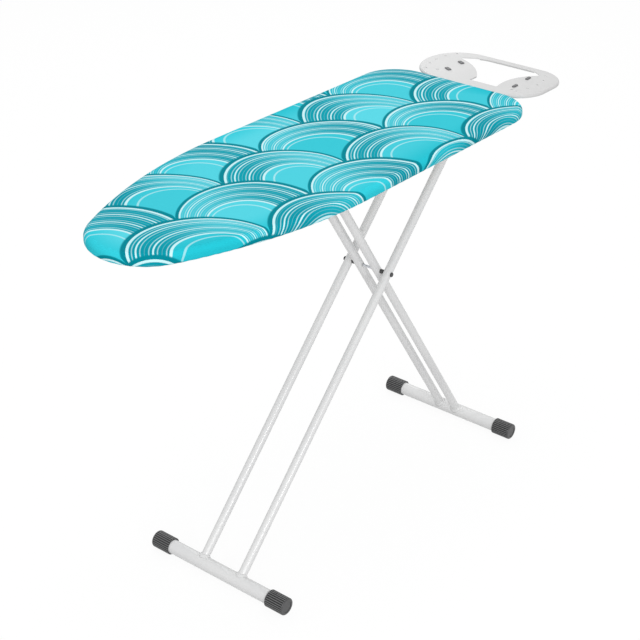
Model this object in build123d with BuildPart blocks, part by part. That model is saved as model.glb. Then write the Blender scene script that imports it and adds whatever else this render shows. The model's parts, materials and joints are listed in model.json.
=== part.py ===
from build123d import *
import os
from math import atan2, cos, degrees, hypot, pi, radians, sin, sqrt, tan

# Ironing board on a crossed pair of steel tube legs, standing at its full height.
# Millimetres, +Z up, floor at Z = 0, nose towards -X, iron rest towards +X, left side at +Y.

# Board in plan
TOP_Z = 909.0
NOSE_X = -672.0
BOARD_REAR_X = 464.0
BOARD_WIDTH = 416.0
NOSE_R = 121.0
TAPER_X = -159.0
REAR_CORNER_R = 95.0

# Cover, pad, mesh and rim, from the top down
COVER_T = 1.0
COVER_EDGE_R = 13.0
COVER_HEM_R = 6.0
SKIRT_HEIGHT = 24.0
HEM_WIDTH = 28.0
PAD_T = 6.9
PAD_GAP = 0.1
PAD_INSET = 1.2
PAD_EDGE_R = 11.8
MESH_T = 1.0
MESH_INSET = 2.6
MESH_BORDER = 20.0
MESH_PITCH_X = 72.0
MESH_PITCH_Y = 38.0
MESH_OPEN = 0.8
RIM_INSET = 2.0
RIM_HEIGHT = 11.5
RIM_DEPTH = 14.0
RIM_WALL = 1.2

# Cross members and the guide channel of the sliding rod
CROSS_WIDTH = 30.0
CROSS_HEIGHT = 8.0
CROSS_WALL = 1.2
CROSS_FRONT_X = -366.0
CROSS_MIDDLE_X = -76.0
CHANNEL_WIDTH = 26.0
CHANNEL_WALL = 1.5
CHANNEL_FRONT_X = -386.0
CHANNEL_REAR_X = -52.0
CHANNEL_BOTTOM_Z = 846.0

# Legs: both pairs cross at the pivot axle and end at the same height under the board
FRONT_FOOT_X = -390.0
REAR_FOOT_X = 490.0
PIVOT_X = 124.0
PIVOT_Z = 566.0
HINGE_Z = 862.0
OUTER_Y = 54.0
INNER_Y = 25.0
LEG_R = 10.0
LEG_WALL = 1.0
LEG_END = 14.0
PLUG_DEPTH = 6.0
PLUG_HEAD = 2.5
FIT_GAP = 0.05

# Foot bars and their ribbed end caps
FOOT_BAR_R = 16.0
FOOT_BAR_WALL = 1.2
FOOT_LENGTH = 380.0
CAP_R = 19.75
CAP_FLAT = 0.3
CAP_LENGTH = 48.0
CAP_END_T = 5.0
CAP_EDGE_R = 3.0
CAP_DISH_R = 13.0
CAP_DISH_DEPTH = 0.8
CAP_FLUTES = 26
FLUTE_R = 1.2
FLUTE_START = 2.0

# Pivot axle and the hinges at the top of the legs
AXLE_R = 3.0
RUNNING_GAP = 0.08
PIVOT_BUSH_R = 5.0
SPACER_R = 5.2
SPACER_CLEARANCE = 0.4
BUSH_PROUD = 0.1
AXLE_CAP_R = 5.2
AXLE_CAP_LENGTH = 3.0
AXLE_CAP_GAP = 0.2
AXLE_CAP_EDGE_R = 1.4
HINGE_PIN_R = 4.0
HINGE_BUSH_R = 6.0
PIN_HEAD_R = 6.5
PIN_HEAD_T = 2.5
PIN_TAIL = 1.5
BRACKET_GAP = 21.6
BRACKET_WALL = 2.0
BRACKET_EAR_R = 11.0
BRACKET_FOOT = 16.0

# Sliding rod at the top of the inner legs
SLIDE_ROD_R = 5.0
SLIDE_CLEARANCE = 0.5
SLOT_CORNER_R = 5.0
WASHER_R = 9.0
WASHER_GAP = 0.3
ROD_CAP_R = 8.0
ROD_CAP_LENGTH = 4.0
ROD_CAP_WALL = 1.5

# Rack bar, release lever and spring
RACK_T = 4.0
RACK_PIN_X = -245.0
RACK_PIN_Z = 881.0
RACK_PIN_R = 3.0
RACK_EYE_R = 6.0
RACK_TOP_Z = 881.0
RACK_SEATS = 9
RACK_SEAT_PITCH = 14.0
RACK_SEAT_DEPTH = 2.5
RACK_CLEARANCE = 0.6
LEVER_R = 3.0
LEVER_X = -40.0
LEVER_Z = 877.0
LEVER_EYE_R = 7.0
LEVER_STUB = 8.0
LEVER_DROP = 11.0
LEVER_BEND_R = 12.0
LEVER_CROSS_Y = -84.0
LEVER_LOW_Y = -104.0
GRIP_Y = -150.0
GRIP_R = 7.0
GRIP_LENGTH = 74.0
GRIP_END_X = 56.0
GRIP_EDGE_R = 4.0
SPRING_X = -110.0
SPRING_R = 3.4
SPRING_WIRE_R = 0.45
SPRING_TURNS = 3
SPRING_PITCH = 1.9
SPRING_BEND_R = 1.0

# Iron rest: a pressed plate with two lobes round an open window, on two bent tubes
REST_TOP_Z = 900.5
REST_FRONT_X = 468.0
REST_END_X = 672.0
REST_WIDTH = 340.0
REST_LEFT_R = 103.0
REST_RIGHT_R = 80.0
REST_REAR_LEFT_R = 95.0
REST_REAR_RIGHT_R = 79.0
REST_DEPTH = 6.0
REST_WALL = 1.5
REST_EDGE_R = 4.5
WINDOW_FRONT_X = 506.0
WINDOW_REAR_X = 648.0
WINDOW_CORNER_R = 3.5
WINDOW_BEND_Y = 35.0
WINDOW_RIGHT_Y = -85.0
LOBE_TURN_R = 10.0
LEFT_LOBE = ((618.5, 107.0), (593.0, 55.0), (534.0, 4.0), (WINDOW_FRONT_X, 5.0))
RIGHT_LOBE = ((WINDOW_FRONT_X, -70.0), (582.0, -72.0), (632.0, -107.0))
REST_LIP_LEFT_Y = 67.0
REST_LIP_RIGHT_Y = -82.0
REST_LIP_DEPTH = 3.5
LOBE_LIP_LENGTH = 24.0
VENT_R = 2.9
VENT_ARC_R = 143.0
VENT_ARC_X = 574.0
VENT_COUNT = 5
VENT_STEP = 13.5
LEFT_VENT_ARC_Y = 2.8
RIGHT_VENT_ARC_Y = 8.0
INNER_VENTS = ((515.6, 101.8), (511.5, -106.0))
REST_TUBE_R = 5.0
REST_TUBE_WALL = 0.8
REST_TUBE_Y = 92.0
REST_TUBE_FRONT_X = 372.0
REST_TUBE_REAR_X = 600.0
REST_TUBE_LOW_Z = 879.3
REST_TUBE_BEND_R = 14.0
REST_PADS = {
    "front_left": (533.5, 84.0, 62.0, 10.0),
    "rear_left": (590.0, 85.5, 62.0, 10.0),
    "front_right": (535.0, -100.5, 5.0, 8.0),
    "rear_right": (597.5, -96.5, 5.0, 8.0),
}
REST_PAD_LENGTH = 19.0
REST_PAD_CORNER_R = 2.5
REST_PAD_T = 2.5
REST_PAD_EDGE_R = 1.0

SIDES = (("left", 1), ("right", -1))

# Heights that follow from the stack of the board
SKIRT_Z = TOP_Z - SKIRT_HEIGHT
PAD_TOP_Z = TOP_Z - COVER_T - PAD_GAP
MESH_TOP_Z = PAD_TOP_Z - PAD_T
FRAME_TOP_Z = MESH_TOP_Z - MESH_T
CROSS_BOTTOM_Z = FRAME_TOP_Z - CROSS_HEIGHT
CHANNEL_ROOF_Z = CROSS_BOTTOM_Z - CHANNEL_WALL
FOOT_Z = CAP_R - CAP_FLAT

# Plan arcs: a wide side arc runs tangent from the straight side into the nose arc
HALF_WIDTH = BOARD_WIDTH / 2
NOSE_CENTRE_X = NOSE_X + NOSE_R
SIDE_ARC_RUN = TAPER_X - NOSE_CENTRE_X
SIDE_R = (SIDE_ARC_RUN**2 + HALF_WIDTH**2 - NOSE_R**2) / (2 * (HALF_WIDTH - NOSE_R))
SHOULDER_ANGLE = degrees(atan2(SIDE_R - HALF_WIDTH, -SIDE_ARC_RUN))
REAR_CORNER_X = BOARD_REAR_X - REAR_CORNER_R
REAR_CORNER_Y = HALF_WIDTH - REAR_CORNER_R

# Leg lines: lean of each pair, and where it meets the board
OUTER_LEAN = atan2(PIVOT_Z - FOOT_Z, PIVOT_X - FRONT_FOOT_X)
INNER_LEAN = atan2(PIVOT_Z - FOOT_Z, REAR_FOOT_X - PIVOT_X)
HINGE_X = PIVOT_X + (HINGE_Z - PIVOT_Z) / tan(OUTER_LEAN)
SLIDE_X = PIVOT_X - (HINGE_Z - PIVOT_Z) / tan(INNER_LEAN)
OUTER_ARM = (HINGE_Z - PIVOT_Z) / sin(OUTER_LEAN)
INNER_ARM = (HINGE_Z - PIVOT_Z) / sin(INNER_LEAN)
FOLD_RATIO = INNER_LEAN / OUTER_LEAN


def rod_path(share):
    """Centre of the sliding rod, (x, z), when the legs are folded by a share of the way to flat."""
    outer = OUTER_LEAN * (1 - share)
    inner = FOLD_RATIO * outer
    x = HINGE_X - OUTER_ARM * cos(outer) - INNER_ARM * cos(inner)
    z = HINGE_Z - OUTER_ARM * sin(outer) + INNER_ARM * sin(inner)
    return x, z


PATH_STEPS = 200
ROD_PATH = [rod_path(step / PATH_STEPS) for step in range(PATH_STEPS + 1)]
ROD_RISE = max(z for x, z in ROD_PATH) - HINGE_Z
SLIDE_END_X = ROD_PATH[-1][0]

os.makedirs("parts", exist_ok=True)


def save(piece, label):
    """Name a finished piece and write it."""
    piece.part.label = label
    export_step(piece.part, f"parts/{label}.step")


def board_face(inset):
    """The board's plan outline as a face, moved in from the cover's outer edge."""
    half = HALF_WIDTH - inset
    rear = BOARD_REAR_X - inset
    with BuildSketch() as face:
        with BuildLine():
            CenterArc((NOSE_CENTRE_X, 0), NOSE_R - inset, SHOULDER_ANGLE, 180 - SHOULDER_ANGLE)
            CenterArc((TAPER_X, HALF_WIDTH - SIDE_R), SIDE_R - inset, 90, SHOULDER_ANGLE - 90)
            Line((TAPER_X, half), (REAR_CORNER_X, half))
            CenterArc((REAR_CORNER_X, REAR_CORNER_Y), REAR_CORNER_R - inset, 0, 90)
            Line((rear, REAR_CORNER_Y), (rear, 0))
            mirror(about=Plane.XZ)
        make_face()
    return face.sketch


def half_width_at(x, inset):
    """Half the board's width at one station along its length, or a negative number past its ends."""
    shoulder_x = NOSE_CENTRE_X + (NOSE_R - inset) * cos(radians(SHOULDER_ANGLE))
    if x > REAR_CORNER_X:
        reach = (REAR_CORNER_R - inset) ** 2 - (x - REAR_CORNER_X) ** 2
        return REAR_CORNER_Y + sqrt(reach) if reach > 0 else -1.0
    if x > TAPER_X:
        return HALF_WIDTH - inset
    if x > shoulder_x:
        return HALF_WIDTH - SIDE_R + sqrt((SIDE_R - inset) ** 2 - (x - TAPER_X) ** 2)
    reach = (NOSE_R - inset) ** 2 - (x - NOSE_CENTRE_X) ** 2
    return sqrt(reach) if reach > 0 else -1.0


def along_y(x, y, z):
    """A work plane at a point, with its normal along +Y."""
    return Plane(origin=(x, y, z), x_dir=(1, 0, 0), z_dir=(0, 1, 0))


def cross_hole(x, y, z, radius, length):
    """Drill the active part along Y, centred on a point."""
    with Locations((x, y, z)):
        Cylinder(radius, length, rotation=(90, 0, 0), mode=Mode.SUBTRACT)


def sleeve(x, z, y_from, y_to, radius, bore):
    """A turned sleeve along Y."""
    with BuildPart() as ring:
        with BuildSketch(along_y(x, y_from, z)):
            Circle(radius)
            Circle(bore, mode=Mode.SUBTRACT)
        extrude(amount=y_to - y_from)
    return ring


# Cover: one sewn skin, drawn over the edge and turned in under the rim
with BuildPart() as cover_room:
    with BuildSketch(Plane.XY.offset(SKIRT_Z + COVER_T)):
        add(board_face(COVER_T))
    extrude(amount=SKIRT_HEIGHT - 2 * COVER_T)
    fillet(cover_room.faces().sort_by(Axis.Z)[-1].edges(), COVER_EDGE_R - COVER_T)
    fillet(cover_room.faces().sort_by(Axis.Z)[0].edges(), COVER_HEM_R - COVER_T)

with BuildPart() as cover:
    with BuildSketch(Plane.XY.offset(SKIRT_Z)):
        add(board_face(0))
    extrude(amount=SKIRT_HEIGHT)
    fillet(cover.faces().sort_by(Axis.Z)[-1].edges(), COVER_EDGE_R)
    fillet(cover.faces().sort_by(Axis.Z)[0].edges(), COVER_HEM_R)
    add(cover_room.part, mode=Mode.SUBTRACT)
    with BuildSketch(Plane.XY.offset(SKIRT_Z)):
        add(board_face(HEM_WIDTH))
    extrude(amount=COVER_T, mode=Mode.SUBTRACT)
save(cover, "cover")

# Foam pad: fills the cover above the mesh, so its rounded edge is cut off where it lies on the mesh
with BuildPart() as foam_pad:
    with BuildSketch(Plane.XY.offset(PAD_TOP_Z)):
        add(board_face(PAD_INSET))
    extrude(amount=-2 * PAD_EDGE_R)
    fillet(foam_pad.faces().sort_by(Axis.Z)[-1].edges(), PAD_EDGE_R)
    split(bisect_by=Plane.XY.offset(MESH_TOP_Z), keep=Keep.TOP)
save(foam_pad, "foam_pad")

# Mesh top: expanded steel sheet with staggered diamond openings inside a plain border
opening_x = MESH_OPEN * MESH_PITCH_X / 2
opening_y = MESH_OPEN * MESH_PITCH_Y / 2
column_count = int((BOARD_REAR_X - NOSE_X) / (MESH_PITCH_X / 2)) + 1
row_count = int(BOARD_WIDTH / MESH_PITCH_Y) // 2 + 1
opening_centres = []
for column in range(column_count):
    x = BOARD_REAR_X - column * MESH_PITCH_X / 2
    for row in range(-row_count, row_count + 1):
        y = (row + 0.5 * (column % 2)) * MESH_PITCH_Y
        room = min(half_width_at(x - opening_x, MESH_BORDER), half_width_at(x + opening_x, MESH_BORDER))
        if abs(y) <= room and abs(y) + opening_y <= half_width_at(x, MESH_BORDER):
            opening_centres.append((x, y))

with BuildPart() as mesh_top:
    with BuildSketch(Plane.XY.offset(FRAME_TOP_Z)):
        add(board_face(MESH_INSET))
        with Locations(*opening_centres):
            Polygon(
                (-opening_x, 0), (0, -opening_y), (opening_x, 0), (0, opening_y), mode=Mode.SUBTRACT
            )
    extrude(amount=MESH_T)
save(mesh_top, "mesh_top")

# Rim: rolled C section, open to the inside, under the edge of the mesh
with BuildPart() as rim_channel:
    with BuildSketch(Plane.XY.offset(FRAME_TOP_Z - RIM_HEIGHT)):
        add(board_face(RIM_INSET))
        add(board_face(RIM_INSET + RIM_DEPTH), mode=Mode.SUBTRACT)
    extrude(amount=RIM_HEIGHT)
    with BuildSketch(Plane.XY.offset(FRAME_TOP_Z - RIM_HEIGHT + RIM_WALL)):
        add(board_face(RIM_INSET + RIM_WALL))
        add(board_face(RIM_INSET + RIM_DEPTH), mode=Mode.SUBTRACT)
    extrude(amount=RIM_HEIGHT - 2 * RIM_WALL, mode=Mode.SUBTRACT)
save(rim_channel, "rim_channel")

# Cross members: shallow troughs from rim to rim, open towards the mesh
for place, cross_x in (("front", CROSS_FRONT_X), ("middle", CROSS_MIDDLE_X), ("rear", HINGE_X)):
    with BuildPart() as cross_member:
        with BuildSketch(Plane.XY.offset(CROSS_BOTTOM_Z)):
            with Locations((cross_x, 0)):
                Rectangle(CROSS_WIDTH, BOARD_WIDTH)
            add(board_face(RIM_INSET + RIM_DEPTH), mode=Mode.INTERSECT)
        extrude(amount=CROSS_HEIGHT)
        with BuildSketch(Plane.XY.offset(CROSS_BOTTOM_Z + CROSS_WALL)):
            with Locations((cross_x, 0)):
                Rectangle(CROSS_WIDTH - 2 * CROSS_WALL, BOARD_WIDTH)
        extrude(amount=CROSS_HEIGHT, mode=Mode.SUBTRACT)
    save(cross_member, f"cross_member_{place}")

# Guide channel: a U section hung under the cross members, slotted for the sliding rod
slot_bottom_z = HINGE_Z - SLIDE_ROD_R - SLIDE_CLEARANCE
slot_top_z = HINGE_Z + ROD_RISE + SLIDE_ROD_R + SLIDE_CLEARANCE
slot_front_x = SLIDE_END_X - SLIDE_ROD_R - SLIDE_CLEARANCE
slot_rear_x = SLIDE_X + SLIDE_ROD_R + SLIDE_CLEARANCE
channel_height = CROSS_BOTTOM_Z - CHANNEL_BOTTOM_Z

with BuildPart() as guide_channel:
    with BuildSketch(Plane.YZ.offset(CHANNEL_FRONT_X)):
        with Locations((0, CROSS_BOTTOM_Z - channel_height / 2)):
            Rectangle(CHANNEL_WIDTH, channel_height)
        with Locations((0, CHANNEL_ROOF_Z - channel_height / 2)):
            Rectangle(CHANNEL_WIDTH - 2 * CHANNEL_WALL, channel_height, mode=Mode.SUBTRACT)
    extrude(amount=CHANNEL_REAR_X - CHANNEL_FRONT_X)
    with BuildSketch(Plane.XZ):
        with Locations(((slot_front_x + slot_rear_x) / 2, (slot_bottom_z + slot_top_z) / 2)):
            RectangleRounded(slot_rear_x - slot_front_x, slot_top_z - slot_bottom_z, SLOT_CORNER_R)
    extrude(amount=CHANNEL_WIDTH, both=True, mode=Mode.SUBTRACT)
    cross_hole(RACK_PIN_X, 0, RACK_PIN_Z, RACK_PIN_R + FIT_GAP, 2 * CHANNEL_WIDTH)
save(guide_channel, "guide_channel")

# Hinge brackets: one clevis over the head of each outer leg, with its own headed pin
for side, sign in SIDES:
    leg_y = sign * OUTER_Y
    with BuildPart() as hinge_bracket:
        with BuildSketch(along_y(HINGE_X, leg_y, HINGE_Z)):
            with BuildLine():
                ThreePointArc((-BRACKET_EAR_R, 0), (0, BRACKET_EAR_R), (BRACKET_EAR_R, 0))
                Line((BRACKET_EAR_R, 0), (BRACKET_FOOT, HINGE_Z - CROSS_BOTTOM_Z))
                Line((BRACKET_FOOT, HINGE_Z - CROSS_BOTTOM_Z), (-BRACKET_FOOT, HINGE_Z - CROSS_BOTTOM_Z))
                Line((-BRACKET_FOOT, HINGE_Z - CROSS_BOTTOM_Z), (-BRACKET_EAR_R, 0))
            make_face()
        extrude(amount=BRACKET_GAP / 2 + BRACKET_WALL, both=True)
        with Locations((HINGE_X, leg_y, CROSS_BOTTOM_Z - BRACKET_WALL)):
            Box(
                3 * BRACKET_FOOT,
                BRACKET_GAP,
                2 * (CROSS_BOTTOM_Z - HINGE_Z),
                align=(Align.CENTER, Align.CENTER, Align.MAX),
                mode=Mode.SUBTRACT,
            )
        cross_hole(HINGE_X, leg_y, HINGE_Z, HINGE_PIN_R + FIT_GAP, 2 * BRACKET_GAP)
    save(hinge_bracket, f"hinge_bracket_{side}")

    ear_reach = BRACKET_GAP / 2 + BRACKET_WALL
    with BuildPart() as hinge_pin:
        with BuildSketch(along_y(HINGE_X, leg_y - sign * (ear_reach + PIN_TAIL), HINGE_Z)):
            Circle(HINGE_PIN_R)
        extrude(amount=sign * (2 * ear_reach + PIN_TAIL))
        with BuildSketch(along_y(HINGE_X, leg_y + sign * ear_reach, HINGE_Z)):
            Circle(PIN_HEAD_R)
        extrude(amount=sign * PIN_HEAD_T)
        outer_face = hinge_pin.faces().sort_by(Axis.Y)[-1 if sign > 0 else 0]
        fillet(outer_face.edges(), PIN_HEAD_T / 2)
    save(hinge_pin, f"hinge_pin_{side}")

    bush_reach = LEG_R + BUSH_PROUD
    hinge_bush = sleeve(
        HINGE_X, HINGE_Z, leg_y - bush_reach, leg_y + bush_reach, HINGE_BUSH_R, HINGE_PIN_R + RUNNING_GAP
    )
    save(hinge_bush, f"hinge_bush_{side}")

# Legs: welded tubes, fish-mouthed on the foot bar and drilled for the axle and the top pin
leg_pairs = (
    ("outer", OUTER_Y, FRONT_FOOT_X, HINGE_X, AXLE_R + FIT_GAP, HINGE_BUSH_R + FIT_GAP),
    ("inner", INNER_Y, REAR_FOOT_X, SLIDE_X, PIVOT_BUSH_R + FIT_GAP, SLIDE_ROD_R + FIT_GAP),
)
for pair, pair_y, foot_x, head_x, axle_hole_r, head_hole_r in leg_pairs:
    leg_line = Vector(head_x - foot_x, 0, HINGE_Z - FOOT_Z)
    leg_length = leg_line.length + LEG_END
    for side, sign in SIDES:
        leg_y = sign * pair_y
        foot_plane = Plane(origin=(foot_x, leg_y, FOOT_Z), x_dir=(0, 1, 0), z_dir=leg_line)
        with BuildPart() as leg:
            with BuildSketch(foot_plane):
                Circle(LEG_R)
                Circle(LEG_R - LEG_WALL, mode=Mode.SUBTRACT)
            extrude(amount=leg_length)
            cross_hole(foot_x, leg_y, FOOT_Z, FOOT_BAR_R, 4 * LEG_R)
            cross_hole(PIVOT_X, leg_y, PIVOT_Z, axle_hole_r, 4 * LEG_R)
            cross_hole(head_x, leg_y, HINGE_Z, head_hole_r, 4 * LEG_R)
        save(leg, f"{pair}_leg_{side}")

        with BuildPart() as leg_plug:
            with BuildSketch(foot_plane.offset(leg_length - PLUG_DEPTH)):
                Circle(LEG_R - LEG_WALL - FIT_GAP)
            extrude(amount=PLUG_DEPTH)
            with BuildSketch(foot_plane.offset(leg_length)):
                Circle(LEG_R)
            extrude(amount=PLUG_HEAD)
            fillet(leg_plug.edges().sort_by_distance(foot_plane.origin)[-1], PLUG_HEAD / 2)
        save(leg_plug, f"{pair}_plug_{side}")

# Foot bars with ribbed end caps, each cap with a narrow flat where it stands on the floor
for foot, foot_x in (("front", FRONT_FOOT_X), ("rear", REAR_FOOT_X)):
    bar_reach = FOOT_LENGTH / 2 - CAP_END_T
    foot_bar = sleeve(foot_x, FOOT_Z, -bar_reach, bar_reach, FOOT_BAR_R, FOOT_BAR_R - FOOT_BAR_WALL)
    save(foot_bar, f"{foot}_foot_bar")

    for side, sign in SIDES:
        cap_end = along_y(foot_x, sign * FOOT_LENGTH / 2, FOOT_Z)
        with BuildPart() as cap:
            with BuildSketch(cap_end):
                Circle(CAP_R)
            extrude(amount=-sign * CAP_LENGTH)
            end_face = cap.faces().sort_by(Axis.Y)[-1 if sign > 0 else 0]
            fillet(end_face.edges(), CAP_EDGE_R)
            with BuildSketch(cap_end.offset(-sign * CAP_END_T)):
                Circle(FOOT_BAR_R + FIT_GAP)
            extrude(amount=-sign * CAP_LENGTH, mode=Mode.SUBTRACT)
            with BuildSketch(cap_end):
                Circle(CAP_DISH_R)
            extrude(amount=-sign * CAP_DISH_DEPTH, mode=Mode.SUBTRACT)
            with BuildSketch(cap_end.offset(-sign * FLUTE_START)):
                with PolarLocations(CAP_R, CAP_FLUTES):
                    Circle(FLUTE_R)
            extrude(amount=-sign * CAP_LENGTH, mode=Mode.SUBTRACT)
            split(bisect_by=Plane.XY, keep=Keep.TOP)
        save(cap, f"{foot}_cap_{side}")

# Pivot: an axle through all four legs, with bushes in the inner pair, spacers and end caps
axle_reach = OUTER_Y + LEG_R + AXLE_CAP_GAP + AXLE_CAP_LENGTH - ROD_CAP_WALL
with BuildPart() as pivot_axle:
    with BuildSketch(along_y(PIVOT_X, 0, PIVOT_Z)):
        Circle(AXLE_R)
    extrude(amount=axle_reach, both=True)
save(pivot_axle, "pivot_axle")

for side, sign in SIDES:
    bush_reach = LEG_R + BUSH_PROUD
    pivot_bush = sleeve(
        PIVOT_X,
        PIVOT_Z,
        sign * INNER_Y - bush_reach,
        sign * INNER_Y + bush_reach,
        PIVOT_BUSH_R,
        AXLE_R + RUNNING_GAP,
    )
    save(pivot_bush, f"pivot_bush_{side}")

    spacer_inner = sign * (INNER_Y + bush_reach + SPACER_CLEARANCE)
    spacer_outer = sign * (OUTER_Y - LEG_R)
    pivot_spacer = sleeve(PIVOT_X, PIVOT_Z, spacer_inner, spacer_outer, SPACER_R, AXLE_R + FIT_GAP)
    save(pivot_spacer, f"pivot_spacer_{side}")

    cap_plane = along_y(PIVOT_X, sign * (OUTER_Y + LEG_R + AXLE_CAP_GAP), PIVOT_Z)
    with BuildPart() as pivot_cap:
        with BuildSketch(cap_plane):
            Circle(AXLE_CAP_R)
        extrude(amount=sign * AXLE_CAP_LENGTH)
        outer_face = pivot_cap.faces().sort_by(Axis.Y)[-1 if sign > 0 else 0]
        fillet(outer_face.edges(), AXLE_CAP_EDGE_R)
        with BuildSketch(cap_plane):
            Circle(AXLE_R + FIT_GAP)
        extrude(amount=sign * (AXLE_CAP_LENGTH - ROD_CAP_WALL), mode=Mode.SUBTRACT)
    save(pivot_cap, f"pivot_cap_{side}")

# Sliding rod: joins the heads of the inner legs through the guide channel's slots
rod_reach = INNER_Y + LEG_R + ROD_CAP_LENGTH - ROD_CAP_WALL
with BuildPart() as slide_rod:
    with BuildSketch(along_y(SLIDE_X, 0, HINGE_Z)):
        Circle(SLIDE_ROD_R)
    extrude(amount=rod_reach, both=True)
save(slide_rod, "slide_rod")

for side, sign in SIDES:
    washer_inner = sign * (CHANNEL_WIDTH / 2 + WASHER_GAP)
    washer_outer = sign * (INNER_Y - LEG_R)
    slide_washer = sleeve(SLIDE_X, HINGE_Z, washer_inner, washer_outer, WASHER_R, SLIDE_ROD_R + FIT_GAP)
    save(slide_washer, f"slide_washer_{side}")

    cap_plane = along_y(SLIDE_X, sign * (INNER_Y + LEG_R), HINGE_Z)
    with BuildPart() as slide_cap:
        with BuildSketch(cap_plane):
            Circle(ROD_CAP_R)
        extrude(amount=sign * ROD_CAP_LENGTH)
        outer_face = slide_cap.faces().sort_by(Axis.Y)[-1 if sign > 0 else 0]
        fillet(outer_face.edges(), ROD_CAP_WALL)
        with BuildSketch(cap_plane):
            Circle(SLIDE_ROD_R + FIT_GAP)
        extrude(amount=sign * (ROD_CAP_LENGTH - ROD_CAP_WALL), mode=Mode.SUBTRACT)
    save(slide_cap, f"slide_cap_{side}")

# Rack bar: hangs in the channel on its pin, with a row of seats that follows the rod's path
seat_xs = [SLIDE_X - seat * RACK_SEAT_PITCH for seat in range(RACK_SEATS)]


def tooth_edge_z(x):
    """Height of the rack's toothed edge, just clear of the rod as it slides past."""
    near_x, near_z = min(ROD_PATH, key=lambda point: abs(point[0] - x))
    return near_z + SLIDE_ROD_R + RACK_CLEARANCE


edge_rear_x = seat_xs[0] + RACK_SEAT_PITCH
edge_front_x = seat_xs[-1] - RACK_SEAT_PITCH
edge_middle_x = (edge_rear_x + edge_front_x) / 2
edge_rear = (edge_rear_x, tooth_edge_z(SLIDE_X))
edge_middle = (edge_middle_x, tooth_edge_z(edge_middle_x))
edge_front = (edge_front_x, tooth_edge_z(edge_front_x))
rack_side = Plane.XZ.offset(-RACK_T / 2)

with BuildPart() as rack_bar:
    with BuildSketch(rack_side):
        with BuildLine():
            Line((RACK_PIN_X, RACK_TOP_Z), (LEVER_X, RACK_TOP_Z))
            Line((LEVER_X, RACK_TOP_Z), (LEVER_X, LEVER_Z - LEVER_EYE_R))
            Line((LEVER_X, LEVER_Z - LEVER_EYE_R), edge_rear)
            ThreePointArc(edge_rear, edge_middle, edge_front)
            Line(edge_front, (RACK_PIN_X, RACK_PIN_Z - RACK_EYE_R))
            Line((RACK_PIN_X, RACK_PIN_Z - RACK_EYE_R), (RACK_PIN_X, RACK_TOP_Z))
        make_face()
        with Locations((RACK_PIN_X, RACK_PIN_Z)):
            Circle(RACK_EYE_R)
        with Locations((LEVER_X, LEVER_Z)):
            Circle(LEVER_EYE_R)
        seat_r = SLIDE_ROD_R + RACK_CLEARANCE
        with Locations(*[(x, tooth_edge_z(x) - seat_r + RACK_SEAT_DEPTH) for x in seat_xs]):
            Circle(seat_r, mode=Mode.SUBTRACT)
        with Locations((RACK_PIN_X, RACK_PIN_Z)):
            Circle(RACK_PIN_R + RUNNING_GAP, mode=Mode.SUBTRACT)
        with Locations((LEVER_X, LEVER_Z)):
            Circle(LEVER_R + FIT_GAP, mode=Mode.SUBTRACT)
    extrude(amount=RACK_T)
save(rack_bar, "rack_bar")

with BuildPart() as rack_pin:
    with BuildSketch(along_y(RACK_PIN_X, 0, RACK_PIN_Z)):
        Circle(RACK_PIN_R)
    extrude(amount=CHANNEL_WIDTH / 2, both=True)
save(rack_pin, "rack_pin")

# Release lever: a bent rod from the rack's free end out to a grip under the right edge
low_z = LEVER_Z - LEVER_DROP
lever_points = (
    (LEVER_X, LEVER_STUB, LEVER_Z),
    (LEVER_X, LEVER_CROSS_Y, LEVER_Z),
    (LEVER_X, LEVER_LOW_Y, low_z),
    (LEVER_X, GRIP_Y, low_z),
    (GRIP_END_X - GRIP_EDGE_R, GRIP_Y, low_z),
)
with BuildPart() as release_lever:
    with BuildLine() as lever_line:
        FilletPolyline(*lever_points, radius=LEVER_BEND_R)
    with BuildSketch(along_y(LEVER_X, LEVER_STUB, LEVER_Z)):
        Circle(LEVER_R)
    sweep(path=lever_line.wires()[0])
save(release_lever, "release_lever")

with BuildPart() as lever_grip:
    with BuildSketch(Plane.YZ.offset(GRIP_END_X)):
        with Locations((GRIP_Y, low_z)):
            Circle(GRIP_R)
    extrude(amount=-GRIP_LENGTH)
    fillet(lever_grip.edges().filter_by(GeomType.CIRCLE), GRIP_EDGE_R)
    with BuildSketch(Plane.YZ.offset(GRIP_END_X - GRIP_EDGE_R)):
        with Locations((GRIP_Y, low_z)):
            Circle(LEVER_R + FIT_GAP)
    extrude(amount=-GRIP_LENGTH, mode=Mode.SUBTRACT)
save(lever_grip, "lever_grip")

# Lever spring: a short coil between the rack bar and the channel's roof
QUARTERS = 4 * SPRING_TURNS
coil_slope = atan2(SPRING_PITCH, 2 * pi * SPRING_R)
coil_bottom_z = (RACK_TOP_Z + CHANNEL_ROOF_Z - SPRING_TURNS * SPRING_PITCH) / 2


def coil_point(quarter):
    """A point on the coil's centre line, counted in quarter turns, and the direction there."""
    angle = quarter * pi / 2
    level = cos(coil_slope)
    z = coil_bottom_z + SPRING_PITCH * quarter / 4
    point = Vector(SPRING_X + SPRING_R * cos(angle), SPRING_R * sin(angle), z)
    return point, Vector(-sin(angle) * level, cos(angle) * level, sin(coil_slope))


def biarc(start, start_way, end, end_way):
    """Two arcs in the active line that leave and arrive in the given directions."""
    chord = end - start
    turn = 2 * (1 - start_way.dot(end_way))
    lean = chord.dot(start_way + end_way)
    reach = (sqrt(lean**2 + turn * chord.dot(chord)) - lean) / turn
    middle = (start + end + (start_way - end_way) * reach) / 2
    middle_way = ((end - end_way * reach) - (start + start_way * reach)).normalized()
    TangentArc(start, middle, tangent=start_way)
    TangentArc(middle, end, tangent=middle_way)


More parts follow.
